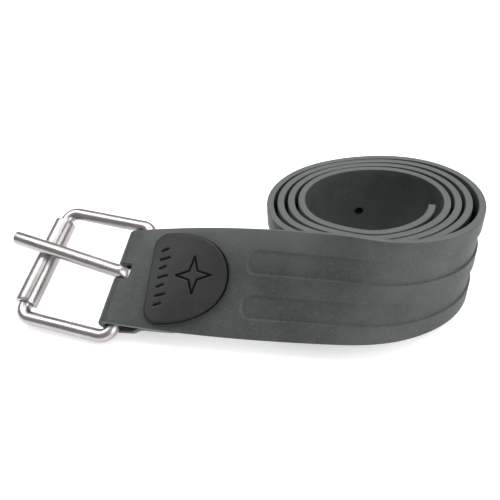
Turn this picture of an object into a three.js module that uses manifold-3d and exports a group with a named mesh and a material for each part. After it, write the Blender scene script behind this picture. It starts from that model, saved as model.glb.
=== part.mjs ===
// Dive weight belt: a rubber strap rolled up and standing on its edge, with a steel roller buckle held in a
// riveted fold at its outer end and a moulded badge over the rivets. Millimetres, +Z up. The origin is on the
// floor in the middle of the coil. +X runs along the straight stretch, from the buckle to the coil.
import * as THREE from 'three';
import Module from 'manifold-3d';

const wasm = await Module();
wasm.setup();

// ---- driving dimensions ----
const STRAP_WIDTH = 50;
const STRAP_THICK = 3.3;
const GAP = 0.3;                  // running gap between touching pieces

const CHANNEL_WIDTH = 11;         // two shallow channels run along the strap's outer face
const CHANNEL_OFFSET = 10.1;      // channel centre from the strap's middle
const CHANNEL_DEPTH = 1;
const CHANNEL_SLOPE = 0.5;        // width of a channel's sloping side
const CHANNEL_START_X = -48;      // rounded end near the badge
const CHANNEL_END_TAIL = 150;     // plain length of strap left at the tail for the adjusting holes
const CHANNEL_END_RADIUS = 5;

const BEND_X = -110.2;            // the strap bends back here, round the buckle's inner bar
const STRETCH_END_X = -6;         // the straight stretch ends here and the coil begins
const STRETCH_Y = -50.2;          // where the stretch meets the coil
const STRETCH_DRIFT = 4.5;        // it runs out by this much towards the buckle
const STRETCH_BOW = 0.7;          // and bows back by this much
const STRETCH_SKEW = 4.4;         // degrees the strap's width is turned sideways at the buckle
const COIL_LEAN = 16;             // degrees from upright where the stretch meets the coil
const LEAN_RISE = 46;             // the strap twists over towards the buckle by this much,
const LEAN_CURVE = 6.5;           // plus this much towards the end
const LIFT_COIL = 10.4;           // height of the lower edge where the stretch meets the coil
const LIFT_SAG = 6.9;             // the lower edge sags on the way to the buckle
const LIFT_RISE = 7.7;            // and rises again where the fold lies on the floor
const TWIST_START_X = 5.4;        // the twist, sag and drift are measured from here
const TWIST_LENGTH = 120;

const TURNS = 4;
const OVAL_RADIUS = 29;           // coil radius at the innermost full turn
const OVAL_SHIFT_X = -1.8;
const OVAL_SHIFT_Y = -1.6;
const OVAL_SQUASH = 2.3;          // the coil is slightly oval, longest at OVAL_ANGLE
const OVAL_ANGLE = 23;
const PITCH = 4.35;               // mean spacing of the turns
const PITCH_VARIATION = 0.7;      // the turns are looser at PITCH_ANGLE and tighter across it
const PITCH_ANGLE = 35.5;
const OUTER_LOOSE = 5.2;          // the outermost half turn stands off by this much at the front
const DENT_DEPTH = 3.6;           // the leaning stretch presses the next turn in by this much,
const DENT_EASE = 0.2;            // and each turn inside that one less, by this share of it,
const DENT_ANGLE = 340;           // round this angle of the coil
const DENT_SPREAD = 36;           // and this far to either side
const TAIL_ANGLE = 90;            // the tail runs this far past the fourth turn
const TAIL_CURL = 2;
const COIL_START = 12;            // degrees round the coil to its first station
const TURN_STEP = 12;             // and between stations
const SETTLE_ANGLE = 100;         // the lower edge comes down to the floor over this many degrees

const FOLD_BACK_X = -79.5;        // cut end of the folded-back layer
const FOLD_STRAIGHT = 5.5;        // the two layers run parallel this far past the bend,
const FOLD_CLOSE = 11.5;          // then close up within this distance
const FOLD_ROOM = 0.9;            // the bend is this much wider than the bar,
const FOLD_SLACK = 1.7;           // and the bar lies this far in from the bend's centre,
const FOLD_NEARER = 0.2;          // nearer to the outer layer by this much
const SLOT_WIDTH = 9;             // slot through the fold for the prong
const SLOT_MIDDLE = 1.65;         // above the strap's middle
const SLOT_REACH = 2.1;           // its rounded end, past the bar's axis
const SLOT_CORNER = 2;
const HOLE_RADIUS = 2.4;          // adjusting holes near the tail
const HOLE_FROM_TAIL = [50, 90, 130];

const FOLD_STEP = 3.1;            // spacing of the strap's sections in the folded-back layer,
const BEND_STEP = 22.5;           // round the bend (degrees),
const TWIST_STEP = 4.2;           // on the twisted stretch
const PLAIN_STEP = 6;             // and on its straighter end

const WIRE_RADIUS = 3.2;          // buckle frame
const FRAME_WIDTH = 60.8;          // between the centre lines of its side wires
const FRAME_LENGTH = 49;          // between its inner and outer bars
const FRAME_CORNER = 5.4;
const FRAME_RAISE = 2.6;          // degrees the frame points up from level
const FRAME_SKEW = -4;            // degrees it is turned in its own plane, in the slack fold

const ROLLER_RADIUS = 5.5;
const ROLLER_BORE = 3.6;
const ROLLER_LENGTH = 47.5;
const ROLLER_SEAM = 0.6;          // the rolled sheet's seam
const ROLLER_SEAM_ANGLE = 35;     // degrees from the face, towards the fold

const PRONG_RADIUS = 3.4;
const PRONG_TIP = 63.5;           // tip, from the inner bar's axis
const PRONG_EYE_WALL = 1.3;       // the rod is flattened to this where it wraps the bar
const PRONG_NECK = 10;            // it is fully round from here on
const PRONG_NECK_HEIGHT = 4.8;    // axis above the frame's plane at the neck
const PRONG_OFFSET = 1.3;         // the prong sits this much above the strap's middle
const PRONG_SKEW = 3.6;           // degrees it leans towards the frame's upper side
const PRONG_BEVEL = 0.8;          // at its tip

const BADGE_LEFT_X = -94.2;       // straight side, towards the buckle
const BADGE_RIGHT_X = -55.2;      // rounded nose
const BADGE_HALF = 21.9;
const BADGE_CORNER = 6.5;
const BADGE_LIFT = 0.45;          // clear of the twisted strap
const BADGE_THICK = 2.4;
const BADGE_EDGE = 0.7;           // rounding of its face edge
const BADGE_TILT = 6;             // degrees it is turned on the strap
const BADGE_CENTRE_H = 0.8;       // above the strap's middle
const BADGE_BULGE = 0.6;          // fullness of the nose

const RIVET_X = -88.5;
const RIVET_H = 11;               // rivets above and below the strap's middle
const RIVET_RADIUS = 2;
const RIVET_HEAD = 4.4;
const RIVET_HEAD_THICK = 0.8;
const RIVET_RIM = 0.3;            // straight rim of the head at the back,
const RIVET_CROWN = 2.4;          // and radius of its flat top

const PRONG_EYE_OUTER = WIRE_RADIUS + GAP + PRONG_EYE_WALL;

const rad = THREE.MathUtils.degToRad;
const HALF_WIDTH = STRAP_WIDTH / 2;
const HALF_THICK = STRAP_THICK / 2;
const UP = new THREE.Vector3(0, 0, 1);
const ASKEW = new THREE.Vector3(1, 0.3, 0.2);   // not along the axis of any round piece

// ---- geometry helpers ----

// Closed body through equal rings of points: a loop if closed, otherwise capped at both ends.
function loft(rings, closed = false, fanCaps = true) {
  const n = rings[0].length;
  const points = rings.flat();
  const index = [];
  const spans = closed ? rings.length : rings.length - 1;
  for (let i = 0; i < spans; i++) {
    const a = i * n;
    const b = ((i + 1) % rings.length) * n;
    for (let j = 0; j < n; j++) {
      const k = (j + 1) % n;
      index.push(a + j, a + k, b + k, a + j, b + k, b + j);
    }
  }
  if (!closed) {
    const last = (rings.length - 1) * n;
    const cap = fanCaps ? fanTriangles(n) : capTriangles(rings[0]);
    for (const [i, j, k] of cap) index.push(i, k, j);
    for (const [i, j, k] of cap) index.push(last + i, last + j, last + k);
  }
  return outward(toGeometry(points, index));
}

function fanTriangles(n) {
  const out = [];
  for (let i = 1; i < n - 1; i++) out.push([0, i, i + 1]);
  return out;
}

// Triangles for a flat ring that may be hollow-sided.
function capTriangles(ring) {
  const centre = ring.reduce((s, p) => s.add(p), new THREE.Vector3()).divideScalar(ring.length);
  const normal = new THREE.Vector3();
  ring.forEach((p, i) => {
    const q = ring[(i + 1) % ring.length];
    normal.add(p.clone().sub(centre).cross(q.clone().sub(centre)));
  });
  normal.normalize();
  const across = ring[1].clone().sub(ring[0]).projectOnPlane(normal).normalize();
  const along = normal.clone().cross(across);
  const flat = ring.map((p) => new THREE.Vector2(p.dot(across), p.dot(along)));
  return THREE.ShapeUtils.triangulateShape(flat, []);
}

function toGeometry(points, index) {
  const geometry = new THREE.BufferGeometry();
  const positions = points.flatMap((p) => [p.x, p.y, p.z]);
  geometry.setAttribute('position', new THREE.Float32BufferAttribute(positions, 3));
  geometry.setIndex(index);
  return geometry;
}

function outward(geometry) {
  const p = geometry.attributes.position;
  const index = geometry.index.array;
  const [a, b, c] = [new THREE.Vector3(), new THREE.Vector3(), new THREE.Vector3()];
  let volume = 0;
  for (let i = 0; i < index.length; i += 3) {
    a.fromBufferAttribute(p, index[i]);
    b.fromBufferAttribute(p, index[i + 1]);
    c.fromBufferAttribute(p, index[i + 2]);
    volume += a.dot(b.cross(c));
  }
  if (volume < 0) {
    const turned = Array.from(index);
    for (let i = 0; i < turned.length; i += 3) [turned[i], turned[i + 1]] = [turned[i + 1], turned[i]];
    geometry.setIndex(turned);
  }
  return geometry;
}

function toManifold(geometry) {
  return new wasm.Manifold(new wasm.Mesh({
    numProp: 3,
    vertProperties: new Float32Array(geometry.attributes.position.array),
    triVerts: new Uint32Array(geometry.index.array),
  }));
}

function fromManifold(solid) {
  const mesh = solid.getMesh();
  const geometry = new THREE.BufferGeometry();
  geometry.setAttribute('position', new THREE.Float32BufferAttribute(mesh.vertProperties, 3));
  geometry.setIndex(Array.from(mesh.triVerts));
  return geometry;
}

// Ring of points round a centre, in the plane of two directions.
function circle(centre, dirA, dirB, radius, count, stretch = 1) {
  return Array.from({ length: count }, (_, i) => {
    const a = (i / count) * 2 * Math.PI;
    return centre.clone().addScaledVector(dirA, radius * Math.cos(a))
      .addScaledVector(dirB, radius * stretch * Math.sin(a));
  });
}

function cylinder(base, axis, radius, from, to, count = 16) {
  const side = ASKEW.clone().cross(axis).normalize();
  const other = axis.clone().cross(side).normalize();
  const ring = (d, r = radius) => circle(base.clone().addScaledVector(axis, d), side, other, r, count);
  return loft([ring(from), ring(to)]);
}

// ---- the strap's path ----

function dent(turned) {
  const turn = Math.round((turned - DENT_ANGLE) / 360);
  const away = Math.abs(turned - DENT_ANGLE - turn * 360) / DENT_SPREAD;
  if (turn < 0 || away > 1) return 0;
  return DENT_DEPTH * (1 - DENT_EASE * turn) * Math.cos(away * Math.PI / 2) ** 2;
}

function coilRadius(turned) {
  const a = rad(turned - 90);
  const inner = OVAL_RADIUS + OVAL_SHIFT_X * Math.cos(a) + OVAL_SHIFT_Y * Math.sin(a)
    + OVAL_SQUASH * Math.cos(2 * (a - rad(OVAL_ANGLE)));
  const pitch = PITCH + PITCH_VARIATION * Math.cos(2 * (a - rad(PITCH_ANGLE)));
  const loose = OUTER_LOOSE * Math.max(0, 1 - turned / 180) ** 2;
  const pastTurns = Math.max(0, turned - TURNS * 360) / TAIL_ANGLE;
  return inner + pitch * (TURNS - turned / 360) + loose - dent(turned) - TAIL_CURL * pastTurns ** 2;
}

function frameAt(point, tangent, leanDegrees, inward) {
  const lean = rad(leanDegrees);
  const across = inward.clone().multiplyScalar(Math.sin(lean)).addScaledVector(UP, Math.cos(lean));
  const normal = tangent.clone().cross(across).normalize();
  return { point, tangent, across, normal };
}

// The strap's middle on the stretch between the buckle and the coil. A station adds the tangent, the width
// direction and the outward normal.
function stretchPoint(x) {
  const u = (TWIST_START_X - x) / TWIST_LENGTH;
  const lean = COIL_LEAN + LEAN_RISE * u + LEAN_CURVE * u * u;
  const lift = LIFT_COIL - LIFT_SAG * u + LIFT_RISE * u * u;
  const y = STRETCH_Y - STRETCH_DRIFT * u + STRETCH_BOW * u * u;
  const skew = rad(STRETCH_SKEW * u * u);
  const inward = new THREE.Vector3(-Math.sin(skew), Math.cos(skew), 0);
  return { lean, inward, point: new THREE.Vector3(x, y, lift + HALF_WIDTH * Math.cos(rad(lean))) };
}

function stretchStation(x) {
  const { lean, inward, point } = stretchPoint(x);
  const tangent = stretchPoint(x + 1).point.sub(stretchPoint(x - 1).point).normalize();
  return frameAt(point, tangent, lean, inward);
}

function coilPoint(turned) {
  const a = rad(turned - 90);
  const radius = coilRadius(turned);
  const settle = Math.max(0, 1 - turned / SETTLE_ANGLE) ** 2;
  const lean = COIL_LEAN * settle;
  const z = LIFT_COIL * settle + HALF_WIDTH * Math.cos(rad(lean));
  return { lean, point: new THREE.Vector3(radius * Math.cos(a), radius * Math.sin(a), z) };
}

function coilStation(turned) {
  const { lean, point } = coilPoint(turned);
  const tangent = coilPoint(turned + 1).point.sub(coilPoint(turned - 1).point).normalize();
  const inward = UP.clone().cross(tangent).normalize();
  return frameAt(point, tangent, lean, inward);
}

const bend = stretchStation(BEND_X);
bend.tangent.crossVectors(bend.across, bend.normal);
const BEND_RADIUS = WIRE_RADIUS + FOLD_ROOM + HALF_THICK;
const bendCentre = bend.point.clone().addScaledVector(bend.normal, -BEND_RADIUS);
const barCentre = bendCentre.clone().addScaledVector(bend.tangent, FOLD_SLACK)
  .addScaledVector(bend.normal, FOLD_NEARER);

function smoothstep(t) {
  const c = Math.min(1, Math.max(0, t));
  return c * c * (3 - 2 * c);
}

// The layer folded back behind the stretch. Its outer face looks the other way.
function foldBackStation(x) {
  const front = stretchStation(x);
  const closed = STRAP_THICK + GAP;
  const open = 1 - smoothstep((x - BEND_X - FOLD_STRAIGHT) / FOLD_CLOSE);
  const apart = closed + (2 * BEND_RADIUS - closed) * open;
  return {
    point: front.point.clone().addScaledVector(front.normal, -apart),
    tangent: front.tangent.clone().negate(),
    across: front.across,
    normal: front.normal.clone().negate(),
  };
}

function bendStation(degrees) {
  const normal = bend.normal.clone().applyAxisAngle(bend.across, -rad(degrees));
  const tangent = bend.tangent.clone().applyAxisAngle(bend.across, -rad(degrees));
  const point = bendCentre.clone().addScaledVector(normal, BEND_RADIUS);
  return { point, tangent, across: bend.across, normal };
}

function steps(from, to, about) {
  const n = Math.max(1, Math.round(Math.abs(to - from) / about));
  return Array.from({ length: n + 1 }, (_, i) => from + ((to - from) * i) / n);
}

function strapStations() {
  const out = [];
  for (const x of steps(FOLD_BACK_X, BEND_X, FOLD_STEP).slice(0, -1)) out.push(foldBackStation(x));
  for (const b of steps(180, 0, BEND_STEP).slice(0, -1)) out.push(bendStation(b));
  for (const x of steps(BEND_X, CHANNEL_START_X, TWIST_STEP).slice(0, -1)) out.push(stretchStation(x));
  const rounding = [0, 0.5, 1.6, 3, CHANNEL_END_RADIUS].map((d) => CHANNEL_START_X + d);
  for (const x of rounding) out.push({ ...stretchStation(x), channel: x - CHANNEL_START_X });
  for (const x of steps(rounding.at(-1), STRETCH_END_X, PLAIN_STEP).slice(1)) out.push(stretchStation(x));
  const last = TURNS * 360 + TAIL_ANGLE;
  for (let turned = COIL_START; turned < last - 1; turned += TURN_STEP) out.push(coilStation(turned));
  out.push(coilStation(last));
  return out;
}

// Distance along the strap from each station to the tail's end.
function toTail(stations) {
  const left = new Array(stations.length).fill(0);
  for (let i = stations.length - 2; i >= 0; i--) {
    left[i] = left[i + 1] + stations[i].point.distanceTo(stations[i + 1].point);
  }
  return left;
}

// Outline of the strap's section at a station: outer face with its two channels, then the plain inner face.
function strapSection(station, inChannel) {
  const at = (h, out) => station.point.clone().addScaledVector(station.across, h)
    .addScaledVector(station.normal, out);
  const depth = inChannel > 0 ? CHANNEL_DEPTH : 0;
  const endRadius = CHANNEL_END_RADIUS;
  const shortfall = Math.min(endRadius, Math.max(0, endRadius - inChannel));
  const half = CHANNEL_WIDTH / 2 - (endRadius - Math.sqrt(endRadius ** 2 - shortfall ** 2));
  const ring = [at(-HALF_WIDTH, HALF_THICK)];
  for (const centre of [-CHANNEL_OFFSET, CHANNEL_OFFSET]) {
    ring.push(at(centre - half, HALF_THICK));
    ring.push(at(centre - half + Math.min(CHANNEL_SLOPE, half / 2), HALF_THICK - depth));
    ring.push(at(centre + half - Math.min(CHANNEL_SLOPE, half / 2), HALF_THICK - depth));
    ring.push(at(centre + half, HALF_THICK));
  }
  ring.push(at(HALF_WIDTH, HALF_THICK));
  for (const h of [1, 1 / 3, -1 / 3, -1]) ring.push(at(h * HALF_WIDTH, -HALF_THICK));
  return ring;
}

function buildStrap() {
  const stations = strapStations();
  const left = toTail(stations);
  const firstChannel = stations.findIndex((s) => s.channel !== undefined);
  const rings = stations.map((station, i) => {
    if (i < firstChannel) return strapSection(station, -1);
    const fromStart = station.channel ?? CHANNEL_END_RADIUS;
    const fromEnd = left[i] - CHANNEL_END_TAIL;
    return strapSection(station, Math.min(fromStart, fromEnd, CHANNEL_END_RADIUS));
  });
  let solid = toManifold(loft(rings, false, false));

  const reach = BEND_RADIUS + STRAP_THICK;
  const slotOutline = new THREE.Shape();
  slotOutline.moveTo(-SLOT_WIDTH / 2, -2 * reach);
  slotOutline.lineTo(SLOT_WIDTH / 2, -2 * reach);
  const slotBend = (sign, from, to) => slotOutline.absarc(sign * (SLOT_WIDTH / 2 - SLOT_CORNER),
    SLOT_REACH - SLOT_CORNER, SLOT_CORNER, from, to, false);
  slotBend(1, 0, Math.PI / 2);
  slotBend(-1, Math.PI / 2, Math.PI);
  const slotRing = (n) => slotOutline.getPoints(5).map((q) => barCentre.clone()
    .addScaledVector(bend.across, SLOT_MIDDLE + q.x).addScaledVector(bend.tangent, q.y)
    .addScaledVector(bend.normal, n));
  solid = solid.subtract(toManifold(loft([slotRing(-reach), slotRing(reach)])));
  const eyePocket = cylinder(buckle(PRONG_OFFSET, 0, 0), u, PRONG_EYE_OUTER + GAP,
    -PRONG_RADIUS - GAP, PRONG_RADIUS + GAP, 24);
  solid = solid.subtract(toManifold(eyePocket));

  for (const side of [-1, 1]) {
    const { point, normal } = rivetSeat(side);
    solid = solid.subtract(toManifold(cylinder(point, normal, RIVET_RADIUS + GAP, -12, 12)));
    const pocketDepth = RIVET_HEAD_THICK + GAP;
    const pocket = cylinder(point, normal, RIVET_HEAD + GAP, HALF_THICK - pocketDepth, HALF_THICK + 3, 20);
    solid = solid.subtract(toManifold(pocket));
  }
  for (const distance of HOLE_FROM_TAIL) {
    const i = left.findIndex((d) => d < distance);
    const share = (left[i - 1] - distance) / (left[i - 1] - left[i]);
    const centre = stations[i - 1].point.clone().lerp(stations[i].point, share);
    const normal = stations[i - 1].normal.clone().lerp(stations[i].normal, share).normalize();
    const half = HALF_THICK + GAP / 2;
    solid = solid.subtract(toManifold(cylinder(centre, normal, HOLE_RADIUS, -half, half, 14)));
  }
  return fromManifold(solid);
}

// ---- buckle: u runs along its bars, v from the inner bar to the outer bar and n out of its face ----
const u = bend.across.clone().applyAxisAngle(bend.normal, rad(FRAME_SKEW));
const v = new THREE.Vector3(-1, 0, 0).projectOnPlane(u).normalize().applyAxisAngle(u, rad(FRAME_RAISE));
const n = u.clone().cross(v).normalize();
const buckle = (along, outBy, above) => barCentre.clone().addScaledVector(u, along)
  .addScaledVector(v, outBy).addScaledVector(n, above);

function buildFrame() {
  const rings = [];
  const side = FRAME_WIDTH / 2 - FRAME_CORNER;
  const [near, far] = [FRAME_CORNER, FRAME_LENGTH - FRAME_CORNER];
  const corners = [[side, near, -90], [side, far, 0], [-side, far, 90], [-side, near, 180]];
  for (const [cu, cv, start] of corners) {
    for (const turn of steps(0, 90, 18)) {
      const a = rad(start + turn);
      const out = u.clone().multiplyScalar(Math.cos(a)).addScaledVector(v, Math.sin(a));
      const centre = buckle(cu, cv, 0).addScaledVector(out, FRAME_CORNER);
      rings.push(circle(centre, out, n, WIRE_RADIUS, 12));
    }
  }
  return loft(rings, true);
}

function buildRoller() {
  const seam = ROLLER_SEAM / 2 / ROLLER_RADIUS;
  const innerSeam = ROLLER_SEAM / 2 / ROLLER_BORE;
  const count = 22;
  const ring = (along) => {
    const point = (radius, gap, i) => {
      const a = gap + ((2 * Math.PI - 2 * gap) * i) / count + rad(ROLLER_SEAM_ANGLE);
      return buckle(along, FRAME_LENGTH - radius * Math.sin(a), radius * Math.cos(a));
    };
    const outer = Array.from({ length: count + 1 }, (_, i) => point(ROLLER_RADIUS, seam, i));
    const inner = Array.from({ length: count + 1 }, (_, i) => point(ROLLER_BORE, innerSeam, count - i));
    return [...outer, ...inner];
  };
  return loft([ring(-ROLLER_LENGTH / 2), ring(ROLLER_LENGTH / 2)], false, false);
}

function buildProng() {
  const eyeInner = WIRE_RADIUS + GAP;
  const eyeDisc = (radius, half) => {
    return toManifold(cylinder(buckle(PRONG_OFFSET, 0, 0), u, radius, -half, half, 24));
  };
  const eye = eyeDisc(PRONG_EYE_OUTER, PRONG_RADIUS).subtract(eyeDisc(eyeInner, PRONG_RADIUS + 1));
  const overRoller = ROLLER_RADIUS + GAP + PRONG_RADIUS;
  const slope = (overRoller - PRONG_NECK_HEIGHT) / (FRAME_LENGTH - PRONG_NECK);
  const flatMiddle = eyeInner + PRONG_EYE_WALL / 2;
  const flat = (PRONG_EYE_WALL / 2) / PRONG_RADIUS;
  const section = (out) => {
    const neck = smoothstep(out / PRONG_NECK);
    const rodMiddle = PRONG_NECK_HEIGHT + slope * Math.max(0, out - PRONG_NECK);
    const middle = flatMiddle + (rodMiddle - flatMiddle) * neck;
    const bevel = Math.max(0, out - (PRONG_TIP - PRONG_BEVEL));
    const side = PRONG_OFFSET + Math.tan(rad(PRONG_SKEW)) * out;
    return circle(buckle(side, out, middle), u, n, PRONG_RADIUS - bevel, 14, flat + (1 - flat) * neck);
  };
  const outs = [...steps(0, PRONG_NECK, PRONG_NECK / 4), PRONG_TIP - PRONG_BEVEL, PRONG_TIP];
  return fromManifold(eye.add(toManifold(loft(outs.map(section)))));
}

// ---- badge and rivets, laid on the twisted stretch ----

// Point on the stretch: x along it, h up its width, out from its outer face.
function onStretch(x, h, out) {
  const s = stretchStation(x);
  return s.point.clone().addScaledVector(s.across, h).addScaledVector(s.normal, HALF_THICK + out);
}

function badgeOutline(count) {
  const shape = new THREE.Shape();
  const length = BADGE_RIGHT_X - BADGE_LEFT_X;
  const nose = length - BADGE_CORNER;
  const [c, h] = [BADGE_CORNER, BADGE_HALF];
  shape.moveTo(0, -h + c);
  shape.lineTo(0, h - c);
  shape.absarc(c, h - c, c, Math.PI, Math.PI / 2, true);
  shape.bezierCurveTo(c + nose * BADGE_BULGE, h, length, h * BADGE_BULGE, length, 0);
  shape.bezierCurveTo(length, -h * BADGE_BULGE, c + nose * BADGE_BULGE, -h, c, -h);
  shape.absarc(c, -h + c, c, -Math.PI / 2, -Math.PI, true);
  return shape.getSpacedPoints(count).slice(0, count);
}

function buildBadge() {
  const outline = badgeOutline(40);
  const middle = new THREE.Vector2((BADGE_RIGHT_X - BADGE_LEFT_X) / 2, 0);
  const tilt = rad(BADGE_TILT);
  const place = (p, out) => {
    const q = p.clone().rotateAround(middle, tilt);
    return onStretch(BADGE_LEFT_X + q.x, BADGE_CENTRE_H + q.y, out);
  };
  const ring = (inset, out) => outline.map((p) => {
    const size = p.distanceTo(middle);
    return place(middle.clone().lerp(p, 1 - inset / size), out);
  });
  const shrunk = (share, out) => outline.map((p) => place(middle.clone().lerp(p, share), out));
  const back = BADGE_LIFT;
  const face = BADGE_LIFT + BADGE_THICK;
  // The inner rings let the broad faces follow the twisted strap.
  const inner = [0.3, 0.65];
  return loft([
    ...inner.map((share) => shrunk(share, back)), ring(0, back), ring(0, face - BADGE_EDGE),
    ring(BADGE_EDGE * 0.3, face - BADGE_EDGE * 0.3), ring(BADGE_EDGE, face),
    ...inner.reverse().map((share) => shrunk(share, face)),
  ]);
}

// Where a rivet goes through, square to the twisted strap there.
function rivetSeat(side) {
  const middleAt = (x) => {
    const s = stretchStation(x);
    return s.point.addScaledVector(s.across, side * RIVET_H);
  };
  const along = middleAt(RIVET_X + 1).sub(middleAt(RIVET_X - 1));
  return { point: middleAt(RIVET_X), normal: along.cross(stretchStation(RIVET_X).across).normalize() };
}

function buildRivet(side) {
  const { point, normal } = rivetSeat(side);
  const frontTop = HALF_THICK;
  const backFace = -(HALF_THICK + STRAP_THICK + GAP);
  const across = ASKEW.clone().cross(normal).normalize();
  const other = normal.clone().cross(across).normalize();
  const ring = (d, radius) => circle(point.clone().addScaledVector(normal, d), across, other, radius, 20);
  return loft([
    ring(backFace - GAP - RIVET_HEAD_THICK, RIVET_CROWN), ring(backFace - GAP - RIVET_RIM, RIVET_HEAD),
    ring(backFace - GAP, RIVET_HEAD), ring(backFace - GAP, RIVET_RADIUS),
    ring(frontTop - RIVET_HEAD_THICK, RIVET_RADIUS), ring(frontTop - RIVET_HEAD_THICK, RIVET_HEAD),
    ring(frontTop, RIVET_HEAD),
  ]);
}

// ---- materials and pieces ----
const rubber = { color: 0x4f5554, roughness: 0.72, metalness: 0 };
const badgeRubber = { color: 0x2b2c2c, roughness: 0.6, metalness: 0 };
const steel = { color: 0xc9c6c6, roughness: 0.18, metalness: 1 };

const group = new THREE.Group();
group.name = 'dive_weight_belt';

function addPiece(name, geometry, look) {
  const mesh = new THREE.Mesh(geometry, new THREE.MeshStandardMaterial(look));
  mesh.name = name;
  group.add(mesh);
}

addPiece('strap', buildStrap(), rubber);
addPiece('badge', buildBadge(), badgeRubber);
addPiece('rivet_upper', buildRivet(1), steel);
addPiece('rivet_lower', buildRivet(-1), steel);
addPiece('buckle_frame', buildFrame(), steel);
addPiece('roller', buildRoller(), steel);
addPiece('prong', buildProng(), steel);

export default group;
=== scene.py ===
# Dive weight belt, in metres in the part's own frame. The lengths below are in millimetres.
from math import cos, pi, radians, sin, sqrt, tan

import bmesh
import bpy
import numpy as np
from mathutils import Matrix, Vector


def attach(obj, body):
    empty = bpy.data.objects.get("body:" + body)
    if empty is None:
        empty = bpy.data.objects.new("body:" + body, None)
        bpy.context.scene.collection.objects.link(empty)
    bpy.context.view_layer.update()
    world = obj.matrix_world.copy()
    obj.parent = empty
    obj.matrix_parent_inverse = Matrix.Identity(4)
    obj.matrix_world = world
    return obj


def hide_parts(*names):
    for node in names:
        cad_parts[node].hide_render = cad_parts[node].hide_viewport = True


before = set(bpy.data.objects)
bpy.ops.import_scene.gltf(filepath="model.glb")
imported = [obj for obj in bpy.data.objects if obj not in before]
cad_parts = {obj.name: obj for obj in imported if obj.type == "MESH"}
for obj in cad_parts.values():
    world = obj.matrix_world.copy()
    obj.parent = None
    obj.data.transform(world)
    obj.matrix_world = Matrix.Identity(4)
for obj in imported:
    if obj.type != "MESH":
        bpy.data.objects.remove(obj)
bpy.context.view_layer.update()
MM = 0.001
UP = Vector((0, 0, 1))

# ---- sizes ----
STRAP_WIDTH = 50.0
STRAP_THICK = 3.3
GAP = 0.3
EDGE_ROUND = 0.55
CHANNEL_WIDTH = 11.0
CHANNEL_OFFSET = 10.1
CHANNEL_DEPTH = 1.0
CHANNEL_CORNER = 4.6
CHANNEL_START_X = -48.0
CHANNEL_END_TAIL = 150.0
BEND_X = -110.2
STRETCH_END_X = -6.0
STRETCH_Y = -50.2
STRETCH_DRIFT = 4.5
STRETCH_BOW = 0.7
STRETCH_SKEW = 4.4
COIL_LEAN = 16
LEAN_RISE = 46
LEAN_CURVE = 6.5
LIFT_COIL = 10.4
LIFT_SAG = 6.9
LIFT_RISE = 7.7
TWIST_START_X = 5.4
TWIST_LENGTH = 120.0
TURNS = 4
OVAL_RADIUS = 29
OVAL_SHIFT_X = -1.8
OVAL_SHIFT_Y = -1.6
OVAL_SQUASH = 2.3
OVAL_ANGLE = 23
PITCH = 4.35
PITCH_VARIATION = 0.7
PITCH_ANGLE = 35.5
OUTER_LOOSE = 5.2
LOOSE_ANGLE = 180
DENT_DEPTH = 3.6
DENT_EASE = 0.2
DENT_ANGLE = 340
DENT_SPREAD = 36
TAIL_ANGLE = 90
TAIL_CURL = 2
COIL_START = 12
SETTLE_ANGLE = 100
FOLD_BACK_X = -79.5
FOLD_STRAIGHT = 5.5
FOLD_CLOSE = 11.5
FOLD_ROOM = 0.9
FOLD_SLACK = 1.7
FOLD_NEARER = 0.2
SLOT_WIDTH = 9.0
SLOT_MIDDLE = 1.65
SLOT_REACH = 2.1
SLOT_CORNER = 2.0
SLOT_CLEAR = 0.35
HOLE_RADIUS = 2.4
HOLE_FROM_TAIL = (50, 90, 130)
WIRE_RADIUS = 3.2
FRAME_WIDTH = 60.8
FRAME_LENGTH = 49.0
FRAME_CORNER = 5.4
FRAME_RAISE = 2.6
FRAME_SKEW = -4
ROLLER_RADIUS = 5.5
ROLLER_BORE = 3.6
ROLLER_LENGTH = 47.5
ROLLER_SEAM = 0.6
ROLLER_SEAM_ANGLE = 35
ROLLER_EDGE = 0.35
PRONG_RADIUS = 3.4
PRONG_TIP = 63.5
PRONG_EYE_WALL = 1.3
PRONG_NECK = 10.0
PRONG_NECK_HEIGHT = 4.8
PRONG_ROUND = 5.5
PRONG_OFFSET = 1.3
PRONG_SKEW = 3.6
PRONG_BEVEL = 0.5
BADGE_LEFT_X = -94.2
BADGE_RIGHT_X = -55.2
BADGE_HALF = 21.9
BADGE_CORNER = 6.5
BADGE_LIFT = 0.45
BADGE_THICK = 2.4
BADGE_TILT = 6
BADGE_CENTRE_H = 0.8
BADGE_EDGE = 0.6
BADGE_CROWN = 0.25
GROOVE_DEPTH = 0.4
RIVET_X = -88.5
RIVET_H = 11.0
RIVET_RADIUS = 2.0
RIVET_HEAD = 4.4
RIVET_HEAD_THICK = 0.8

HALF_WIDTH = STRAP_WIDTH / 2
HALF_THICK = STRAP_THICK / 2
BEND_RADIUS = WIRE_RADIUS + FOLD_ROOM + HALF_THICK
PAINTED_SHEEN = 0.75  # painted sheen: how much paler the upper front of the stretch is painted, as a share of a cut edge


# ---- the strap's path: each station is (point, tangent, width direction, outward normal) ----

def smoothstep(t):
    c = min(1.0, max(0.0, t))
    return c * c * (3 - 2 * c)


def dent(turned):
    """How far the leaning stretch presses in the turns behind it."""
    turn = round((turned - DENT_ANGLE) / 360)
    away = abs(turned - DENT_ANGLE - turn * 360) / DENT_SPREAD
    if turn < 0 or away > 1:
        return 0.0
    return DENT_DEPTH * (1 - DENT_EASE * turn) * cos(away * pi / 2) ** 2


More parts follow.
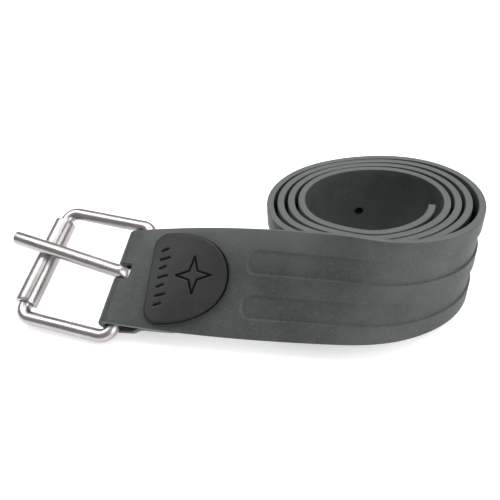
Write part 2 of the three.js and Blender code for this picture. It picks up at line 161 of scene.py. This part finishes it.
def coil_radius(turned):
    a = radians(turned - 90)
    shift = OVAL_SHIFT_X * cos(a) + OVAL_SHIFT_Y * sin(a)
    inner = OVAL_RADIUS + shift + OVAL_SQUASH * cos(2 * (a - radians(OVAL_ANGLE)))
    pitch = PITCH + PITCH_VARIATION * cos(2 * (a - radians(PITCH_ANGLE)))
    loose = OUTER_LOOSE * max(0, 1 - turned / LOOSE_ANGLE) ** 2
    past = max(0, turned - TURNS * 360) / TAIL_ANGLE
    return inner + pitch * (TURNS - turned / 360) + loose - dent(turned) - TAIL_CURL * past ** 2


def stretch_point(x):
    twist = (TWIST_START_X - x) / TWIST_LENGTH
    lean = radians(COIL_LEAN + LEAN_RISE * twist + LEAN_CURVE * twist * twist)
    lift = LIFT_COIL - LIFT_SAG * twist + LIFT_RISE * twist * twist
    skew = radians(STRETCH_SKEW * twist * twist)
    inward = Vector((-sin(skew), cos(skew), 0))
    y = STRETCH_Y - STRETCH_DRIFT * twist + STRETCH_BOW * twist * twist
    return Vector((x, y, lift + HALF_WIDTH * cos(lean))), lean, inward


def coil_point(turned):
    a = radians(turned - 90)
    r = coil_radius(turned)
    settle = max(0, 1 - turned / SETTLE_ANGLE) ** 2
    lean = radians(COIL_LEAN) * settle
    point = Vector((r * cos(a), r * sin(a), LIFT_COIL * settle + HALF_WIDTH * cos(lean)))
    return point, lean, None


def station(path, at):
    point, lean, inward = path(at)
    tangent = (path(at + 1)[0] - path(at - 1)[0]).normalized()
    if inward is None:
        inward = UP.cross(tangent).normalized()
    across = inward * sin(lean) + UP * cos(lean)
    return point, tangent, across, tangent.cross(across).normalized()


bend_point, bend_tangent, bend_across, bend_normal = station(stretch_point, BEND_X)
bend_tangent = bend_across.cross(bend_normal)
bend_centre = bend_point - bend_normal * BEND_RADIUS
bar_centre = bend_centre + bend_tangent * FOLD_SLACK + bend_normal * FOLD_NEARER


def fold_back_station(x):
    point, tangent, across, normal = station(stretch_point, x)
    closed = STRAP_THICK + GAP
    apart = closed + (2 * BEND_RADIUS - closed) * (1 - smoothstep((x - BEND_X - FOLD_STRAIGHT) / FOLD_CLOSE))
    return point - normal * apart, -tangent, across, -normal


def bend_station(degrees):
    b = radians(degrees)
    normal = bend_normal * cos(b) - bend_tangent * sin(b)
    tangent = bend_tangent * cos(b) + bend_normal * sin(b)
    return bend_centre + normal * BEND_RADIUS, tangent, bend_across, normal


def join_stations(first, last, count):
    """Stations that run smoothly between two others."""
    out = []
    reach = (last[0] - first[0]).length
    for i in range(1, count):
        t = i / count
        a, b = 2 * t ** 3 - 3 * t ** 2 + 1, t ** 3 - 2 * t ** 2 + t
        c, d = 3 * t ** 2 - 2 * t ** 3, t ** 3 - t ** 2
        point = first[0] * a + first[1] * reach * b + last[0] * c + last[1] * reach * d
        tangent = first[1].lerp(last[1], t).normalized()
        across = first[2].lerp(last[2], t).normalized()
        out.append((point, tangent, across, tangent.cross(across).normalized()))
    return out


def spread(start, end, step):
    n = max(1, round(abs(end - start) / step))
    return [start + (end - start) * i / n for i in range(n + 1)]


def strap_stations():
    """All stations from the folded-back end to the tail, closest at the rounded ends of the channels."""
    plain_step, bend_step, channel_step, coil_step, join_count = 2, 7.5, 0.4, 3, 8
    fine_from, fine_to = CHANNEL_START_X - 1, CHANNEL_START_X + 7
    out = [fold_back_station(x) for x in spread(FOLD_BACK_X, BEND_X, plain_step)[:-1]]
    out += [bend_station(b) for b in spread(180, 0, bend_step)[:-1]]
    places = spread(BEND_X, fine_from, plain_step)[:-1] + spread(fine_from, fine_to, channel_step)[:-1]
    places += spread(fine_to, STRETCH_END_X, plain_step)
    out += [station(stretch_point, x) for x in places]
    out += join_stations(out[-1], station(coil_point, COIL_START), join_count)
    out += [station(coil_point, t) for t in spread(COIL_START, TURNS * 360 + TAIL_ANGLE, coil_step)]
    return out


# ---- mesh helpers ----

def new_object(name, points, faces, smooth_angle=40):
    mesh = bpy.data.meshes.new(name)
    mesh.from_pydata([tuple(p * MM) for p in points], [], faces)
    bm = bmesh.new()
    bm.from_mesh(mesh)
    bmesh.ops.remove_doubles(bm, verts=bm.verts, dist=1e-7)
    bmesh.ops.recalc_face_normals(bm, faces=bm.faces)
    bm.to_mesh(mesh)
    bm.free()
    obj = bpy.data.objects.new(name, mesh)
    bpy.context.scene.collection.objects.link(obj)
    smooth(obj, smooth_angle)
    return obj


def smooth(obj, angle=40):
    mesh = obj.data
    mesh.shade_smooth()
    mesh.set_sharp_from_angle(angle=radians(angle))


def point_values(obj, name, values):
    layer = obj.data.attributes.new(name, "FLOAT", "POINT")
    layer.data.foreach_set("value", np.array(values[:len(obj.data.vertices)], np.float32))


def loft(name, rings, closed=False, smooth_angle=40):
    n = len(rings[0])
    points = [p for ring in rings for p in ring]
    faces = []
    spans = len(rings) if closed else len(rings) - 1
    for i in range(spans):
        a, b = i * n, ((i + 1) % len(rings)) * n
        for j in range(n):
            k = (j + 1) % n
            faces.append((a + j, a + k, b + k, b + j))
    if not closed:
        faces.append(tuple(range(n)))
        faces.append(tuple(range((len(rings) - 1) * n, len(rings) * n)))
    return new_object(name, points, faces, smooth_angle)


def circle(centre, dir_a, dir_b, radius, count, stretch=1.0):
    return [centre + dir_a * (radius * cos(2 * pi * i / count))
            + dir_b * (radius * stretch * sin(2 * pi * i / count)) for i in range(count)]


def cylinder(name, base, axis, radius, start, end, count=48):
    side = Vector((1, 0.3, 0.2)).cross(axis).normalized()
    other = axis.cross(side).normalized()
    return loft(name, [circle(base + axis * d, side, other, radius, count) for d in (start, end)])


def cut(obj, cutters):
    for c in cutters:
        m = obj.modifiers.new("cut", "BOOLEAN")
        m.object = c
        m.operation = "DIFFERENCE"
        m.solver = "EXACT"
    bake(obj)
    for c in cutters:
        bpy.data.objects.remove(c)


def bake(obj):
    """Applies every modifier."""
    deps = bpy.context.evaluated_depsgraph_get()
    mesh = bpy.data.meshes.new_from_object(obj.evaluated_get(deps))
    obj.modifiers.clear()
    obj.data = mesh


# ---- strap ----

def channel_depth(s, h, start, end):
    """How deep the outer face is cut at distance s along the strap and height h across it."""
    depth = 0.0
    for middle in (-CHANNEL_OFFSET, CHANNEL_OFFSET):
        half_length = (end - start) / 2
        dx = abs(s - (start + end) / 2) - (half_length - CHANNEL_CORNER)
        dy = abs(h - middle) - (CHANNEL_WIDTH / 2 - CHANNEL_CORNER)
        outside = sqrt(max(dx, 0) ** 2 + max(dy, 0) ** 2) + min(max(dx, dy), 0) - CHANNEL_CORNER
        depth = max(depth, smoothstep(0.5 - outside / 0.8))
    return depth * CHANNEL_DEPTH


def outer_face_heights():
    """Where the outer face has a line of points along the strap: closest at the walls of the channels."""
    half = CHANNEL_WIDTH / 2
    heights = {0.0}
    for height in (2.5, 20.0, 22.5, HALF_WIDTH - EDGE_ROUND):
        heights |= {-height, height}
    for middle in (-CHANNEL_OFFSET, CHANNEL_OFFSET):
        for d in (-1.0, -0.5, -0.3, -0.1, 0.1, 0.3, 0.5, 1.0):
            heights |= {middle - half + d, middle + half - d}
        heights |= {middle + k for k in np.linspace(-half + 1.5, half - 1.5, 9)}
    return sorted(heights)


def slot_outline():
    """The slot for the prong, as (across, along) from the bar. One side follows the prong's skew."""
    reach = 2 * (BEND_RADIUS + STRAP_THICK)
    upper, lower = SLOT_MIDDLE + SLOT_WIDTH / 2, PRONG_OFFSET - PRONG_RADIUS - SLOT_CLEAR
    outline = [(lower + tan(radians(PRONG_SKEW - FRAME_SKEW)) * reach, -reach), (upper, -reach)]
    for middle, begin in ((upper - SLOT_CORNER, 0), (lower + SLOT_CORNER, 90)):
        for a in np.radians(np.linspace(begin, begin + 90, 8)):
            outline.append((middle + SLOT_CORNER * cos(a), SLOT_REACH - SLOT_CORNER + SLOT_CORNER * sin(a)))
    return outline


def build_strap():
    stations = strap_stations()
    along = [0.0]
    for a, b in zip(stations, stations[1:]):
        along.append(along[-1] + (b[0] - a[0]).length)
    total = along[-1]
    first = next(i for i, st in enumerate(stations)
                 if st[3].y < 0 and st[1].x > 0 and st[0].x >= CHANNEL_START_X)
    start, end = along[first], total - CHANNEL_END_TAIL
    heights = outer_face_heights()
    corner = [(sin(a), cos(a)) for a in np.linspace(0, pi / 2, 4)]
    rings, pale_edges_and_sheen = [], []
    for (point, tangent, across, normal), s in zip(stations, along):
        ring = [(h, HALF_THICK - channel_depth(s, h, start, end)) for h in heights]
        w, t = HALF_WIDTH - EDGE_ROUND, HALF_THICK - EDGE_ROUND
        ring += [(w + EDGE_ROUND * a, t + EDGE_ROUND * b) for a, b in corner[1:]]
        ring += [(w + EDGE_ROUND * b, -t - EDGE_ROUND * a) for a, b in corner]
        ring += [(h, -HALF_THICK) for h in (20, 10, 0, -10, -20)]
        ring += [(-w - EDGE_ROUND * a, -t - EDGE_ROUND * b) for a, b in corner]
        ring += [(-w - EDGE_ROUND * b, t + EDGE_ROUND * a) for a, b in corner[:-1]]
        rings.append([point + across * h + normal * out for h, out in ring])
        # The "side" attribute holds the paler cut edges (real) and a painted sheen on the upper front of the
        # stretch.
        on_front = smoothstep((point.x + 112) / 12) * smoothstep((2 - point.x) / 30) * (normal.y < 0)
        painted_sheen = [PAINTED_SHEEN * on_front * smoothstep((h - 4) / 20) * (out > 0) for h, out in ring]
        pale_edges_and_sheen += [max(pale, abs(h) > HALF_WIDTH - 0.3 * EDGE_ROUND) for pale, (h, _) in zip(painted_sheen, ring)]
    strap = loft("strap_rubber", rings, smooth_angle=50)
    point_values(strap, "side", pale_edges_and_sheen)

    reach = BEND_RADIUS + STRAP_THICK
    cutters = [loft("slot_cutter", [[bar_centre + bend_across * x + bend_tangent * y + bend_normal * d
                                     for x, y in slot_outline()] for d in (-reach, reach)])]
    eye_outer = WIRE_RADIUS + GAP + PRONG_EYE_WALL + GAP
    cutters.append(cylinder("eye_cutter", buckle(PRONG_OFFSET, 0, 0), bar_axis, eye_outer,
                            -PRONG_RADIUS - GAP, PRONG_RADIUS + GAP))
    for distance in HOLE_FROM_TAIL:
        i = next(k for k, s in enumerate(along) if total - s < distance)
        point, _, _, normal = stations[i]
        past = HALF_THICK + 0.2
        cutters.append(cylinder("hole_cutter", point, normal, HOLE_RADIUS, -past, past))
    cut(strap, cutters)
    smooth(strap, 50)
    return strap


# ---- buckle ----
bar_axis = Matrix.Rotation(radians(FRAME_SKEW), 3, bend_normal) @ bend_across
outward = Vector((-1, 0, 0))
outward = (outward - bar_axis * outward.dot(bar_axis)).normalized()
outward = Matrix.Rotation(radians(FRAME_RAISE), 3, bar_axis) @ outward
frame_normal = bar_axis.cross(outward).normalized()


def buckle(along, out_by, above):
    return bar_centre + bar_axis * along + outward * out_by + frame_normal * above


def build_frame():
    rings = []
    w = FRAME_WIDTH / 2
    c = FRAME_CORNER
    near, far = c, FRAME_LENGTH - c
    corners = ((w - c, near, -90), (w - c, far, 0), (-w + c, far, 90), (-w + c, near, 180))
    for across, out_by, begin in corners:
        for turn in np.linspace(0, 90, 13):
            a = radians(begin + turn)
            out = bar_axis * cos(a) + outward * sin(a)
            rings.append(circle(buckle(across, out_by, 0) + out * c, out, frame_normal, WIRE_RADIUS, 40))
    return loft("frame_wire", rings, closed=True)


def build_roller():
    seam = ROLLER_SEAM / 2 / ROLLER_RADIUS
    inner_seam = ROLLER_SEAM / 2 / ROLLER_BORE
    count = 72

    def ring(along, trim):
        def point(radius, gap, i):
            a = gap + (2 * pi - 2 * gap) * i / count + radians(ROLLER_SEAM_ANGLE)
            return buckle(along, FRAME_LENGTH - radius * sin(a), radius * cos(a))
        outer = [point(ROLLER_RADIUS - trim, seam, i) for i in range(count + 1)]
        inner = [point(ROLLER_BORE + trim, inner_seam, count - i) for i in range(count + 1)]
        return outer + inner
    half = ROLLER_LENGTH / 2
    ends = ((0, ROLLER_EDGE), (ROLLER_EDGE * 0.3, ROLLER_EDGE * 0.3), (ROLLER_EDGE, 0))
    rings = [ring(-half + inset, trim) for inset, trim in ends]
    rings += [ring(k, 0) for k in np.linspace(-half + 2, half - 2, 5)]
    rings += [ring(half - inset, trim) for inset, trim in reversed(ends)]
    return loft("roller_tube", rings)


def build_prong():
    eye_inner = WIRE_RADIUS + GAP
    over_roller = ROLLER_RADIUS + GAP + PRONG_RADIUS
    slope = (over_roller - PRONG_NECK_HEIGHT) / (FRAME_LENGTH - PRONG_NECK)
    flat_middle = eye_inner + PRONG_EYE_WALL / 2
    flat = PRONG_EYE_WALL / 2 / PRONG_RADIUS
    flat_top = eye_inner + PRONG_EYE_WALL

    def oval(centre, side, other, radius, stretch):
        return circle(centre, side, other, radius, 40, stretch)

    rings = []
    for degrees in spread(-250, -6, 8):
        a = radians(degrees)
        out = frame_normal * cos(a) + outward * sin(a)
        centre = buckle(PRONG_OFFSET, 0, 0) + out * flat_middle
        rings.append(oval(centre, bar_axis, out, PRONG_RADIUS * 0.97, flat))
    for out_by in spread(0, PRONG_NECK, 0.5):
        neck = smoothstep(out_by / PRONG_ROUND)
        below = max(PRONG_NECK_HEIGHT - PRONG_RADIUS, sqrt(max(0, eye_inner ** 2 - out_by ** 2)))
        above = flat_top + (PRONG_NECK_HEIGHT + PRONG_RADIUS - flat_top) * neck
        side = PRONG_OFFSET + tan(radians(PRONG_SKEW)) * out_by
        thickness = (above - below) / 2 / PRONG_RADIUS
        centre = buckle(side, out_by, (above + below) / 2)
        rings.append(oval(centre, bar_axis, frame_normal, PRONG_RADIUS, thickness))
    rod = [(PRONG_NECK + further, 0) for further in (8, 20, 32)]
    rod += [(PRONG_TIP - PRONG_BEVEL, 0), (PRONG_TIP - PRONG_BEVEL * 0.3, PRONG_BEVEL * 0.3)]
    rod.append((PRONG_TIP, PRONG_BEVEL))
    for out_by, trim in rod:
        middle = PRONG_NECK_HEIGHT + slope * (out_by - PRONG_NECK)
        side = PRONG_OFFSET + tan(radians(PRONG_SKEW)) * out_by
        rings.append(oval(buckle(side, out_by, middle), bar_axis, frame_normal, PRONG_RADIUS - trim, 1))
    return loft("prong_rod", rings)


# ---- badge and rivets ----

def on_stretch(x, h, out):
    point, _, across, normal = station(stretch_point, x)
    return point + across * h + normal * (HALF_THICK + out)


def badge_outline(count):
    length = BADGE_RIGHT_X - BADGE_LEFT_X
    nose = length - BADGE_CORNER
    c, h = BADGE_CORNER, BADGE_HALF
    pts = []
    for t in np.linspace(0, 1, 12):
        pts.append((0, -h + c + (2 * h - 2 * c) * t))
    for a in np.linspace(pi, pi / 2, 14)[1:]:
        pts.append((c + c * cos(a), h - c + c * sin(a)))

    def bezier(p0, p1, p2, p3, t):
        return tuple((1 - t) ** 3 * a + 3 * (1 - t) ** 2 * t * b + 3 * (1 - t) * t * t * cc + t ** 3 * d
                     for a, b, cc, d in zip(p0, p1, p2, p3))
    for t in np.linspace(0, 1, 30)[1:]:
        pts.append(bezier((c, h), (c + nose * 0.6, h), (length, h * 0.6), (length, 0), t))
    for t in np.linspace(0, 1, 30)[1:]:
        pts.append(bezier((length, 0), (length, -h * 0.6), (c + nose * 0.6, -h), (c, -h), t))
    for a in np.linspace(-pi / 2, -pi, 14)[1:-1]:
        pts.append((c + c * cos(a), -h + c + c * sin(a)))
    pts = np.array(pts)
    loop = np.vstack([pts, pts[:1]])
    d = np.r_[0, np.cumsum(np.linalg.norm(np.diff(loop, axis=0), axis=1))]
    s = np.linspace(0, d[-1], count, endpoint=False)
    return np.c_[np.interp(s, d, loop[:, 0]), np.interp(s, d, loop[:, 1])]


def segment_distance(x, y, a, b):
    ax, ay, bx, by = *a, *b
    t = ((x - ax) * (bx - ax) + (y - ay) * (by - ay)) / ((bx - ax) ** 2 + (by - ay) ** 2)
    t = min(1, max(0, t))
    return sqrt((x - ax - t * (bx - ax)) ** 2 + (y - ay - t * (by - ay)) ** 2)


def badge_marks():
    """Engraved lines on the badge: a column of plain bars by the straight side and a four-pointed star."""
    lines = []
    for i in range(7):
        y = -13.2 + i * 4.4
        lines.append(((5.0, y - 0.6), (9.4 if i % 2 else 8.0, y + 0.6)))
    cx, cy, far, near = 22.5, 0.5, 8.6, 2.9
    star = []
    for k in range(8):
        reach = near if k % 2 else far
        star.append((cx + reach * sin(k * pi / 4), cy + reach * cos(k * pi / 4)))
    lines += [(star[k], star[(k + 1) % 8]) for k in range(8)]
    return lines


def build_badge():
    count = 260
    outline = badge_outline(count)
    middle = np.array([(BADGE_RIGHT_X - BADGE_LEFT_X) / 2, 0.0])
    tilt = radians(BADGE_TILT)
    marks = badge_marks()

    def place(p, out):
        q = p - middle
        x = middle[0] + q[0] * cos(tilt) - q[1] * sin(tilt)
        h = q[0] * sin(tilt) + q[1] * cos(tilt)
        return on_stretch(BADGE_LEFT_X + x, BADGE_CENTRE_H + h, out)

    # Each point's value sets how deep the engraved lines are cut and also paints shade into the grooves and
    # onto the side walls.
    rings, groove_and_side_shade = [], []
    face = BADGE_LIFT + BADGE_THICK

    def add(share, out, marked=False, shade=0.0):
        ring, depth_and_shade = [], []
        for p in outline:
            q = middle + (p - middle) * share
            g = shade
            if marked:
                near = min(segment_distance(q[0], q[1], a, b) for a, b in marks)
                g = smoothstep((0.75 - near) / 0.45)
            ring.append(place(q, out - GROOVE_DEPTH * g))
            depth_and_shade.append(g)
        rings.append(ring)
        groove_and_side_shade.append(depth_and_shade)

    reach, centre = 20.0, 0.02
    # shade=1.0 paints the side walls dark as painted shade; the face's rounded edge gets a little.
    add(centre, BADGE_LIFT, shade=1.0)
    add(1 - 0.5 / reach, BADGE_LIFT, shade=1.0)
    add(1.0, BADGE_LIFT + 0.3, shade=1.0)
    for a in np.linspace(0, pi / 2, 6):
        inset = BADGE_EDGE / reach * (1 - cos(a))
        add(1 - inset, face - BADGE_EDGE + BADGE_EDGE * sin(a), shade=1.0 if a < 0.9 else 0.3)
    for share in np.linspace(1 - BADGE_EDGE / reach, centre, 74)[1:]:
        add(share, face + BADGE_CROWN * (1 - share ** 2), marked=True)
    badge = loft("badge_plate", rings, smooth_angle=60)
    return badge, [g for row in groove_and_side_shade for g in row]


def rivet_seat(side):
    def at(x):
        point, _, across, _ = station(stretch_point, x)
        return point + across * side * RIVET_H
    along = at(RIVET_X + 1) - at(RIVET_X - 1)
    return at(RIVET_X), along.cross(station(stretch_point, RIVET_X)[2]).normalized()


def build_rivet(side):
    point, normal = rivet_seat(side)
    a = Vector((1, 0.3, 0.2)).cross(normal).normalized()
    b = normal.cross(a).normalized()
    back = -(HALF_THICK + STRAP_THICK + 2 * GAP)
    thick = RIVET_HEAD_THICK
    rolled = ((thick - 0.35, 0.18), (thick - 0.1, 0.34), (thick, 0.5), (thick * 0.85, 0.78),
              (thick * 0.55, 0.94), (0.2, 1))
    profile = [(back - high, RIVET_HEAD * share) for high, share in rolled]
    profile += [(back, RIVET_HEAD), (back, RIVET_RADIUS), (HALF_THICK - thick, RIVET_RADIUS)]
    profile += [(HALF_THICK - thick, RIVET_HEAD), (HALF_THICK, RIVET_HEAD)]
    return loft("rivet", [circle(point + normal * d, a, b, r, 48) for d, r in profile])


# ---- materials ----

def node_material(name):
    m = bpy.data.materials.new(name)
    m.use_nodes = True
    tree = m.node_tree
    return m, tree, tree.nodes["Principled BSDF"]


def add_node(tree, kind, **values):
    node = tree.nodes.new(kind)
    for key, value in values.items():
        if key in node.inputs:
            node.inputs[key].default_value = value
        else:
            setattr(node, key, value)
    return node


def noise(tree, coords, scale, detail=4, roughness=0.55, distortion=0.0):
    node = add_node(tree, "ShaderNodeTexNoise", Scale=scale, Detail=detail, Roughness=roughness,
                    Distortion=distortion)
    tree.links.new(coords, node.inputs["Vector"])
    return node.outputs["Fac"]


def remap(tree, value, low, high, to_low, to_high):
    node = add_node(tree, "ShaderNodeMapRange")
    for key, number in (("From Min", low), ("From Max", high), ("To Min", to_low), ("To Max", to_high)):
        node.inputs[key].default_value = number
    tree.links.new(value, node.inputs["Value"])
    return node.outputs["Result"]


def maths(tree, operation, a, b):
    node = add_node(tree, "ShaderNodeMath", operation=operation)
    for socket, value in zip(node.inputs, (a, b)):
        if isinstance(value, (int, float)):
            socket.default_value = value
        else:
            tree.links.new(value, socket)
    return node.outputs["Value"]


def blend_colours(tree, factor, a, b):
    node = add_node(tree, "ShaderNodeMix", data_type="RGBA")
    for socket, value in ((node.inputs[0], factor), (node.inputs[6], a), (node.inputs[7], b)):
        if isinstance(value, (int, float)):
            socket.default_value = value
        elif isinstance(value, tuple):
            socket.default_value = (*value, 1)
        else:
            tree.links.new(value, socket)
    return node.outputs[2]


def bump(tree, height, strength, distance, normal=None):
    node = add_node(tree, "ShaderNodeBump", Strength=strength, Distance=distance)
    tree.links.new(height, node.inputs["Height"])
    if normal is not None:
        tree.links.new(normal, node.inputs["Normal"])
    return node.outputs["Normal"]


def rubber_material(name, dark, light, dust, rough):
    m, tree, shader = node_material(name)
    coords = add_node(tree, "ShaderNodeTexCoord").outputs["Object"]
    mottle = remap(tree, noise(tree, coords, 55, 6, 0.6, 0.3), 0.35, 0.65, 0, 1)
    speck = remap(tree, noise(tree, coords, 1100, 4, 0.65), 0.5, 0.75, 0, 1)
    colour = blend_colours(tree, mottle, dark, light)
    colour = blend_colours(tree, maths(tree, "MULTIPLY", speck, 0.42), colour, dust)
    edge = add_node(tree, "ShaderNodeNewGeometry").outputs["Pointiness"]
    worn = remap(tree, edge, 0.53, 0.60, 0, 0.3)
    colour = blend_colours(tree, worn, colour, dust)
    tree.links.new(colour, shader.inputs["Base Color"])
    cloudy = remap(tree, noise(tree, coords, 22, 4), 0.3, 0.7, rough - 0.07, rough + 0.07)
    tree.links.new(cloudy, shader.inputs["Roughness"])
    shader.inputs["Specular IOR Level"].default_value = 0.3
    grain = bump(tree, noise(tree, coords, 1600, 3, 0.6), 0.4, 0.0002)
    soft = bump(tree, noise(tree, coords, 130, 4, 0.5), 0.34, 0.0005, grain)
    tree.links.new(soft, shader.inputs["Normal"])
    return m, tree, shader, colour


def steel_material(name, axis, tint=(0.40, 0.378, 0.378)):
    """Polished steel, with fine drawing marks along an axis."""
    m, tree, shader = node_material(name)
    coords = add_node(tree, "ShaderNodeTexCoord").outputs["Object"]
    shader.inputs["Metallic"].default_value = 1.0
    turned = add_node(tree, "ShaderNodeMapping")
    spin = Vector(axis).rotation_difference(Vector((0, 0, 1))).to_euler()
    turned.inputs["Rotation"].default_value = spin
    tree.links.new(coords, turned.inputs["Vector"])
    pulled = add_node(tree, "ShaderNodeMapping")
    pulled.inputs["Scale"].default_value = (1, 1, 0.05)
    tree.links.new(turned.outputs["Vector"], pulled.inputs["Vector"])
    drawn = noise(tree, pulled.outputs["Vector"], 1500, 3, 0.5)
    cloud = noise(tree, coords, 90, 5, 0.6)
    colour = blend_colours(tree, remap(tree, cloud, 0.35, 0.65, 0, 1), tuple(0.86 * c for c in tint), tint)
    tree.links.new(colour, shader.inputs["Base Color"])
    streaks = remap(tree, drawn, 0.3, 0.7, 0.0, 0.09)
    clouds = remap(tree, cloud, 0.3, 0.7, 0.22, 0.30)
    tree.links.new(maths(tree, "ADD", streaks, clouds), shader.inputs["Roughness"])
    fine = bump(tree, drawn, 0.08, 0.0001)
    tree.links.new(bump(tree, noise(tree, coords, 260, 3, 0.5), 0.06, 0.0003, fine), shader.inputs["Normal"])
    return m


# ---- build the pieces ----
strap_mat, strap_tree, strap_shader, strap_colour = rubber_material(
    "strap_rubber", (0.032, 0.0365, 0.0355), (0.048, 0.0535, 0.0525), (0.10, 0.11, 0.11), 0.56)
# The "side" attribute pales the cut edges and paints a sheen, a painted highlight, onto the upper front of
# the stretch.
pale_edge_and_sheen = add_node(strap_tree, "ShaderNodeAttribute", attribute_name="side").outputs["Fac"]
pale_edge_and_sheen_share = maths(strap_tree, "MULTIPLY", pale_edge_and_sheen, 0.75)
strap_tree.links.new(blend_colours(strap_tree, pale_edge_and_sheen_share, strap_colour, (0.105, 0.112, 0.112)),
                     strap_shader.inputs["Base Color"])
badge_mat, badge_tree, badge_shader, badge_colour = rubber_material(
    "badge_rubber", (0.014, 0.0145, 0.0145), (0.020, 0.0205, 0.0205), (0.04, 0.04, 0.04), 0.46)
# Painted shade: darker colour and less specular in the engraved grooves and on the badge's side walls.
painted_badge_shade = add_node(badge_tree, "ShaderNodeAttribute", attribute_name="groove_and_side_shade").outputs["Fac"]
badge_tree.links.new(blend_colours(badge_tree, painted_badge_shade, badge_colour, (0.003, 0.003, 0.003)),
                     badge_shader.inputs["Base Color"])
badge_tree.links.new(remap(badge_tree, painted_badge_shade, 0, 1, 0.3, 0.04), badge_shader.inputs["Specular IOR Level"])

strap = build_strap()
strap.data.materials.append(strap_mat)
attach(strap, "belt")
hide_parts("strap")

badge, groove_and_side_shade = build_badge()
badge.data.materials.append(badge_mat)
point_values(badge, "groove_and_side_shade", groove_and_side_shade)
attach(badge, "belt")
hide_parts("badge")

pieces = (
    (build_frame(), "frame", "buckle_frame", outward), (build_roller(), "roller", "roller", bar_axis),
    (build_prong(), "prong", "prong", outward), (build_rivet(1), "belt", "rivet_upper", bar_axis),
    (build_rivet(-1), "belt", "rivet_lower", bar_axis),
)
for obj, body, node, grain_axis in pieces:
    obj.name = node + "_steel"
    obj.data.materials.append(steel_material(obj.name, grain_axis))
    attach(obj, body)
    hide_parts(node)

# ---- stage: pale floor, soft light and the camera ----
bpy.context.scene.view_settings.view_transform = "Standard"
bpy.ops.mesh.primitive_plane_add(size=6, location=(0, 0, -0.0002))
floor = bpy.context.object
floor.name = "floor"
floor_mat, _, floor_shader = node_material("floor_paper")
floor_shader.inputs["Base Color"].default_value = (0.9, 0.9, 0.9, 1)
floor_shader.inputs["Roughness"].default_value = 0.9
floor_shader.inputs["Emission Color"].default_value = (1, 1, 1, 1)
floor_shader.inputs["Emission Strength"].default_value = 0.45
floor.data.materials.append(floor_mat)

world = bpy.context.scene.world or bpy.data.worlds.new("studio")
bpy.context.scene.world = world
world.use_nodes = True
sky = world.node_tree
up_down = add_node(sky, "ShaderNodeSeparateXYZ")
sky.links.new(add_node(sky, "ShaderNodeTexCoord").outputs["Generated"], up_down.inputs[0])
ramp = add_node(sky, "ShaderNodeValToRGB")
stops = ((0.0, 0.40), (0.12, 0.30), (0.24, 0.32), (0.34, 0.60), (0.55, 0.50), (0.66, 0.28), (0.85, 0.85))
while len(ramp.color_ramp.elements) < len(stops):
    ramp.color_ramp.elements.new(0.5)
for element, (place, grey) in zip(ramp.color_ramp.elements, stops):
    element.position = place
    element.color = (grey, grey, grey, 1)
sky.links.new(up_down.outputs["Z"], ramp.inputs["Fac"])
sky.links.new(ramp.outputs["Color"], sky.nodes["Background"].inputs["Color"])
sky.nodes["Background"].inputs["Strength"].default_value = 0.8


def area_light(name, place, target, size, power):
    light = bpy.data.lights.new(name, "AREA")
    light.energy = power
    light.size = size
    obj = bpy.data.objects.new(name, light)
    obj.location = place
    obj.rotation_euler = (Vector(target) - Vector(place)).to_track_quat("-Z", "Y").to_euler()
    bpy.context.scene.collection.objects.link(obj)


area_light("top", (0.0, 0.25, 0.8), (-0.05, 0, 0), 0.8, 5.5)
area_light("right", (0.75, -0.2, 0.35), (0, 0, 0.02), 0.7, 6)
area_light("left", (-0.5, -0.03, 0.7), (-0.1, -0.05, 0.02), 0.45, 3)

CAMERA_PLACE = (0.0255, -0.230, 0.1954)
CAMERA_TURN = 21.44
CAMERA_TILT = 37.54
CAMERA_ROLL = 3.85
CAMERA_LENS = 40.8
CAMERA_SENSOR = 36
tilt, roll = radians(CAMERA_TILT), radians(CAMERA_ROLL)
forward = Vector((0, cos(tilt), -sin(tilt)))
upward = Vector((0, sin(tilt), cos(tilt)))
right = Vector((1, 0, 0))
side, top = right * cos(roll) - upward * sin(roll), right * sin(roll) + upward * cos(roll)
turn = Matrix.Rotation(radians(CAMERA_TURN), 3, "Z")
basis = turn @ Matrix((side, top, -forward)).transposed()
camera_data = bpy.data.cameras.new("camera")
camera_data.lens = CAMERA_LENS
camera_data.sensor_width = CAMERA_SENSOR
camera_data.clip_start = 0.01
camera = bpy.data.objects.new("camera", camera_data)
camera.matrix_world = Matrix.Translation(CAMERA_PLACE) @ basis.to_4x4()
bpy.context.scene.collection.objects.link(camera)
bpy.context.scene.camera = camera
